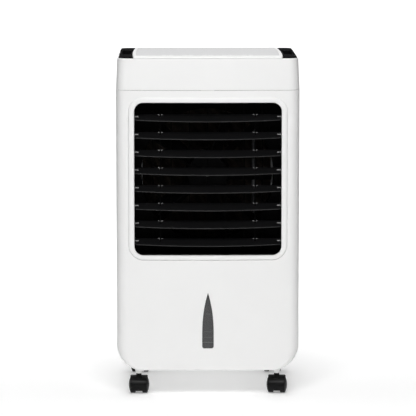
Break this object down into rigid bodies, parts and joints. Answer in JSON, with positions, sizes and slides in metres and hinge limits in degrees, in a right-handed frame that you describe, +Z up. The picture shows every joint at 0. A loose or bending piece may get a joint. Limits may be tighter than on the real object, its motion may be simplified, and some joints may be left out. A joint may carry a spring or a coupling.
{
  "type": "evaporative cooler",
  "caption": "Upright evaporative cooler on casters, with tilting louvres, swinging vanes, a fan, a wet pad, and a water tank that slides out at the rear.",
  "frame": {"origin": "on the floor under the middle of the cabinet", "axes": "+Z up, -Y is the side the air leaves by, +X to the right as seen from that side"},
  "size_m": [0.385, 0.32, 0.72],
  "materials": {
    "white_plastic": "satin moulded shell",
    "black_plastic": "fine texture",
    "trim_plastic": "fine grid grain",
    "grey_plastic": "plain moulded",
    "smoked_plastic": "smoked clear plastic",
    "motor_metal": "painted",
    "steel": "zinc plated",
    "pad_paper": "dark corrugated cellulose",
    "hose_plastic": "soft tube",
    "board": "circuit board",
    "rubber_black": "soft",
    "filter_mesh": "woven mesh",
    "tank_plastic": "moulded tub",
    "fan_plastic": "moulded",
    "film": "printed film",
    "button_plastic": "satin keys",
    "caster_plastic": "moulded nylon",
    "wheel_plastic": "moulded nylon"
  },
  "bodies": {
    "cabinet": {"front_panel": "white_plastic", "louvre_bezel": "white_plastic", "louvre_frame": "black_plastic", "top_cover": "white_plastic", "control_deck": "white_plastic", "control_film": "film", "top_side_trims": "trim_plastic", "rear_shell": "white_plastic", "base_tray": "white_plastic", "chassis_deck": "grey_plastic", "level_window": "smoked_plastic", "fan_shroud": "black_plastic", "fan_motor": "motor_metal", "swing_motor": "steel", "pad_frame": "grey_plastic", "cooling_pad": "pad_paper", "water_distributor": "grey_plastic", "pump": "black_plastic", "pump_hose": "hose_plastic", "control_board": "board", "cord_gland": "rubber_black", "casing_screws": "steel", "caster_stems": "steel"},
    "intake_grille": {"rear_grille": "white_plastic", "dust_filter": "filter_mesh"},
    "tank": {"water_tank": "tank_plastic"},
    "plug": {"drain_plug": "rubber_black"},
    "latch": {"tank_latch": "black_plastic"},
    "fan": {"fan_impeller": "fan_plastic", "fan_shaft": "steel"},
    "blade_1": {"louvre_blade_1": "black_plastic"},
    "blade_2": {"louvre_blade_2": "black_plastic"},
    "blade_3": {"louvre_blade_3": "black_plastic"},
    "blade_4": {"louvre_blade_4": "black_plastic"},
    "blade_5": {"louvre_blade_5": "black_plastic"},
    "blade_6": {"louvre_blade_6": "black_plastic"},
    "blade_7": {"louvre_blade_7": "black_plastic"},
    "blade_8": {"louvre_blade_8": "black_plastic"},
    "tie_bars": {"louvre_tie_bars": "black_plastic"},
    "vane_4": {"swing_vane_4": "black_plastic"},
    "vane_1": {"swing_vane_1": "black_plastic"},
    "vane_2": {"swing_vane_2": "black_plastic"},
    "vane_3": {"swing_vane_3": "black_plastic"},
    "vane_5": {"swing_vane_5": "black_plastic"},
    "vane_6": {"swing_vane_6": "black_plastic"},
    "vane_7": {"swing_vane_7": "black_plastic"},
    "link_bar": {"swing_link_bar": "black_plastic"},
    "button_power": {"button_power": "button_plastic"},
    "button_speed": {"button_speed": "button_plastic"},
    "button_cool": {"button_cool": "button_plastic"},
    "button_swing": {"button_swing": "button_plastic"},
    "button_timer": {"button_timer": "button_plastic"},
    "caster_fl": {"caster_fl_housing": "caster_plastic"},
    "wheels_fl": {"caster_fl_wheels": "wheel_plastic"},
    "caster_fr": {"caster_fr_housing": "caster_plastic"},
    "wheels_fr": {"caster_fr_wheels": "wheel_plastic"},
    "caster_rl": {"caster_rl_housing": "caster_plastic"},
    "wheels_rl": {"caster_rl_wheels": "wheel_plastic"},
    "caster_rr": {"caster_rr_housing": "caster_plastic"},
    "wheels_rr": {"caster_rr_wheels": "wheel_plastic"}
  },
  "joints": [
    {"name": "fan_spin", "type": "hinge", "parent": "cabinet", "child": "fan", "pos_m": [0, -0.0407, 0.463], "axis": [0, 1, 0], "continuous": true},
    {"name": "grille_pull", "type": "slide", "parent": "cabinet", "child": "intake_grille", "axis": [0, 1, 0], "range_m": [0, 0.06]},
    {"name": "tank_slide", "type": "slide", "parent": "cabinet", "child": "tank", "axis": [0, 1, 0], "range_m": [0, 0.17]},
    {"name": "plug_pull", "type": "slide", "parent": "tank", "child": "plug", "axis": [0, 1, 0], "range_m": [0, 0.015]},
    {"name": "latch_turn", "type": "hinge", "parent": "cabinet", "child": "latch", "pos_m": [0, 0.1565, 0.247], "axis": [0, 1, 0], "range_deg": [0, 90]},
    {"name": "louvre_tilt", "type": "hinge", "parent": "cabinet", "child": "blade_1", "pos_m": [0, -0.128, 0.592], "axis": [1, 0, 0], "range_deg": [-45, 30]},
    {"name": "louvre_tilt_2", "type": "hinge", "parent": "cabinet", "child": "blade_2", "pos_m": [0, -0.128, 0.55443], "axis": [1, 0, 0], "range_deg": [-45, 30]},
    {"name": "louvre_tilt_3", "type": "hinge", "parent": "cabinet", "child": "blade_3", "pos_m": [0, -0.128, 0.51686], "axis": [1, 0, 0], "range_deg": [-45, 30]},
    {"name": "louvre_tilt_4", "type": "hinge", "parent": "cabinet", "child": "blade_4", "pos_m": [0, -0.128, 0.47929], "axis": [1, 0, 0], "range_deg": [-45, 30]},
    {"name": "louvre_tilt_5", "type": "hinge", "parent": "cabinet", "child": "blade_5", "pos_m": [0, -0.128, 0.44171], "axis": [1, 0, 0], "range_deg": [-45, 30]},
    {"name": "louvre_tilt_6", "type": "hinge", "parent": "cabinet", "child": "blade_6", "pos_m": [0, -0.128, 0.40414], "axis": [1, 0, 0], "range_deg": [-45, 30]},
    {"name": "louvre_tilt_7", "type": "hinge", "parent": "cabinet", "child": "blade_7", "pos_m": [0, -0.128, 0.36657], "axis": [1, 0, 0], "range_deg": [-45, 30]},
    {"name": "louvre_tilt_8", "type": "hinge", "parent": "cabinet", "child": "blade_8", "pos_m": [0, -0.128, 0.329], "axis": [1, 0, 0], "range_deg": [-45, 30]},
    {"name": "tie_bar_hinge", "type": "hinge", "parent": "blade_1", "child": "tie_bars", "pos_m": [0, -0.1186, 0.59542], "axis": [1, 0, 0], "range_deg": [-30, 45]},
    {"name": "vane_swing", "type": "hinge", "parent": "cabinet", "child": "vane_4", "pos_m": [0, -0.088, 0.463], "axis": [0, 0, 1], "range_deg": [-35, 35]},
    {"name": "vane_swing_1", "type": "hinge", "parent": "cabinet", "child": "vane_1", "pos_m": [-0.11588, -0.088, 0.463], "axis": [0, 0, 1], "range_deg": [-35, 35]},
    {"name": "vane_swing_2", "type": "hinge", "parent": "cabinet", "child": "vane_2", "pos_m": [-0.07725, -0.088, 0.463], "axis": [0, 0, 1], "range_deg": [-35, 35]},
    {"name": "vane_swing_3", "type": "hinge", "parent": "cabinet", "child": "vane_3", "pos_m": [-0.03862, -0.088, 0.463], "axis": [0, 0, 1], "range_deg": [-35, 35]},
    {"name": "vane_swing_5", "type": "hinge", "parent": "cabinet", "child": "vane_5", "pos_m": [0.03862, -0.088, 0.463], "axis": [0, 0, 1], "range_deg": [-35, 35]},
    {"name": "vane_swing_6", "type": "hinge", "parent": "cabinet", "child": "vane_6", "pos_m": [0.07725, -0.088, 0.463], "axis": [0, 0, 1], "range_deg": [-35, 35]},
    {"name": "vane_swing_7", "type": "hinge", "parent": "cabinet", "child": "vane_7", "pos_m": [0.11588, -0.088, 0.463], "axis": [0, 0, 1], "range_deg": [-35, 35]},
    {"name": "link_bar_hinge", "type": "hinge", "parent": "vane_4", "child": "link_bar", "pos_m": [0, -0.0769, 0.36], "axis": [0, 0, 1], "range_deg": [-35, 35]},
    {"name": "press_power", "type": "slide", "parent": "cabinet", "child": "button_power", "axis": [0, 0, -1], "range_m": [0, 0.001], "stiffness_N_per_m": 400, "springref_m": -0.0006},
    {"name": "press_speed", "type": "slide", "parent": "cabinet", "child": "button_speed", "axis": [0, 0, -1], "range_m": [0, 0.001], "stiffness_N_per_m": 400, "springref_m": -0.0006},
    {"name": "press_cool", "type": "slide", "parent": "cabinet", "child": "button_cool", "axis": [0, 0, -1], "range_m": [0, 0.001], "stiffness_N_per_m": 400, "springref_m": -0.0006},
    {"name": "press_swing", "type": "slide", "parent": "cabinet", "child": "button_swing", "axis": [0, 0, -1], "range_m": [0, 0.001], "stiffness_N_per_m": 400, "springref_m": -0.0006},
    {"name": "press_timer", "type": "slide", "parent": "cabinet", "child": "button_timer", "axis": [0, 0, -1], "range_m": [0, 0.001], "stiffness_N_per_m": 400, "springref_m": -0.0006},
    {"name": "swivel_fl", "type": "hinge", "parent": "cabinet", "child": "caster_fl", "pos_m": [-0.1467, -0.115, 0.04], "axis": [0, 0, 1], "continuous": true},
    {"name": "roll_fl", "type": "hinge", "parent": "caster_fl", "child": "wheels_fl", "pos_m": [-0.14642, -0.10701, 0.018], "axis": [0.9994, -0.0349, 0], "continuous": true},
    {"name": "swivel_fr", "type": "hinge", "parent": "cabinet", "child": "caster_fr", "pos_m": [0.1467, -0.115, 0.04], "axis": [0, 0, 1], "continuous": true},
    {"name": "roll_fr", "type": "hinge", "parent": "caster_fr", "child": "wheels_fr", "pos_m": [0.14754, -0.10704, 0.018], "axis": [0.9945, -0.1045, 0], "continuous": true},
    {"name": "swivel_rl", "type": "hinge", "parent": "cabinet", "child": "caster_rl", "pos_m": [-0.1467, 0.127, 0.04], "axis": [0, 0, 1], "continuous": true},
    {"name": "roll_rl", "type": "hinge", "parent": "caster_rl", "child": "wheels_rl", "pos_m": [-0.1467, 0.135, 0.018], "axis": [1, 0, 0], "continuous": true},
    {"name": "swivel_rr", "type": "hinge", "parent": "cabinet", "child": "caster_rr", "pos_m": [0.1467, 0.127, 0.04], "axis": [0, 0, 1], "continuous": true},
    {"name": "roll_rr", "type": "hinge", "parent": "caster_rr", "child": "wheels_rr", "pos_m": [0.1467, 0.135, 0.018], "axis": [1, 0, 0], "continuous": true}
  ],
  "couplings": [
    {"joint": "louvre_tilt_2", "follows": "louvre_tilt", "ratio": 1},
    {"joint": "louvre_tilt_3", "follows": "louvre_tilt", "ratio": 1},
    {"joint": "louvre_tilt_4", "follows": "louvre_tilt", "ratio": 1},
    {"joint": "louvre_tilt_5", "follows": "louvre_tilt", "ratio": 1},
    {"joint": "louvre_tilt_6", "follows": "louvre_tilt", "ratio": 1},
    {"joint": "louvre_tilt_7", "follows": "louvre_tilt", "ratio": 1},
    {"joint": "louvre_tilt_8", "follows": "louvre_tilt", "ratio": 1},
    {"joint": "tie_bar_hinge", "follows": "louvre_tilt", "ratio": -1},
    {"joint": "vane_swing_1", "follows": "vane_swing", "ratio": 1},
    {"joint": "vane_swing_2", "follows": "vane_swing", "ratio": 1},
    {"joint": "vane_swing_3", "follows": "vane_swing", "ratio": 1},
    {"joint": "vane_swing_5", "follows": "vane_swing", "ratio": 1},
    {"joint": "vane_swing_6", "follows": "vane_swing", "ratio": 1},
    {"joint": "vane_swing_7", "follows": "vane_swing", "ratio": 1},
    {"joint": "link_bar_hinge", "follows": "vane_swing", "ratio": -1}
  ]
}
